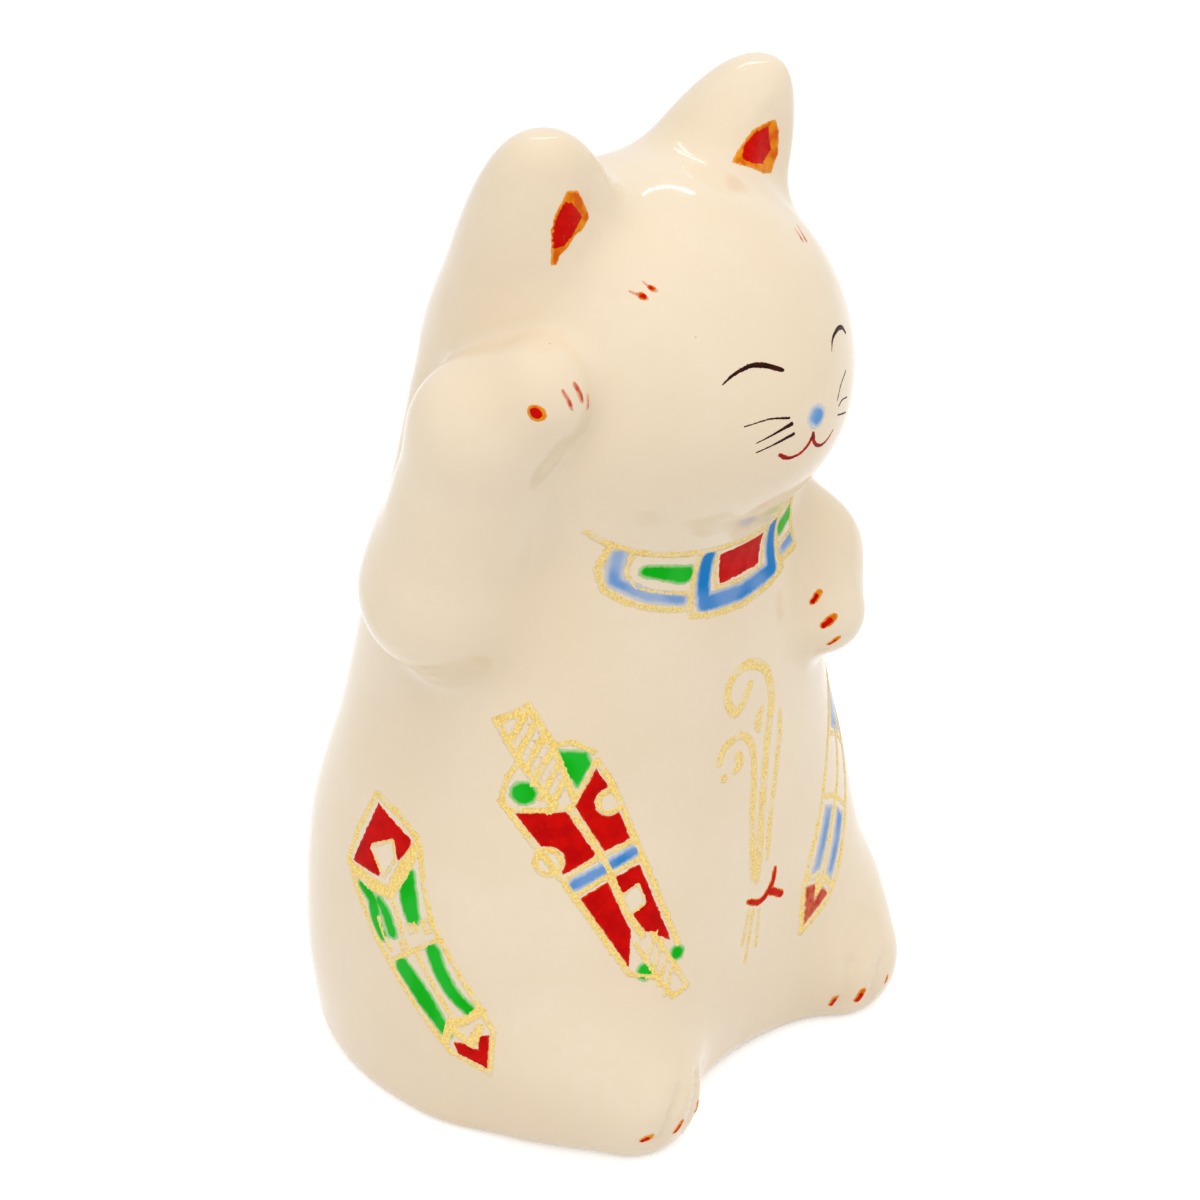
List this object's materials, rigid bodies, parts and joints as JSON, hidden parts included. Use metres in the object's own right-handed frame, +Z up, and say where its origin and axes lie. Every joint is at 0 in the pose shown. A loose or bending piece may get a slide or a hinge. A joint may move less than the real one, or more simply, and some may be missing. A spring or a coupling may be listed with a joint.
{
  "type": "beckoning cat figurine",
  "caption": "Seated beckoning cat ornament in hollow glazed porcelain, its right paw raised beside the cheek and its left paw folded on the chest, on a flat vented base.",
  "frame": {"origin": "on the flat underside of the base disc, on the cat's midline, in the plane that the figurine stands on", "axes": "+Z up, the cat faces -Y, its raised right paw is on the -X side"},
  "size_m": [0.0866, 0.085, 0.1476],
  "materials": {
    "glazed_porcelain": "glossy clear glaze over warm white porcelain",
    "bare_porcelain": "unglazed matt porcelain",
    "enamel_red": "glossy overglaze enamel",
    "enamel_green": "glossy translucent overglaze enamel",
    "enamel_blue": "glossy translucent overglaze enamel",
    "enamel_dark": "thin dark brown overglaze line",
    "gilding": "matt burnished gold paint"
  },
  "bodies": {
    "root": {"body_casting": "glazed_porcelain", "head_casting": "glazed_porcelain", "right_ear": "glazed_porcelain", "left_ear": "glazed_porcelain", "raised_right_arm": "glazed_porcelain", "resting_left_arm": "glazed_porcelain", "right_foot": "glazed_porcelain", "left_foot": "glazed_porcelain", "base_disc": "bare_porcelain"}
  },
  "joints": []
}
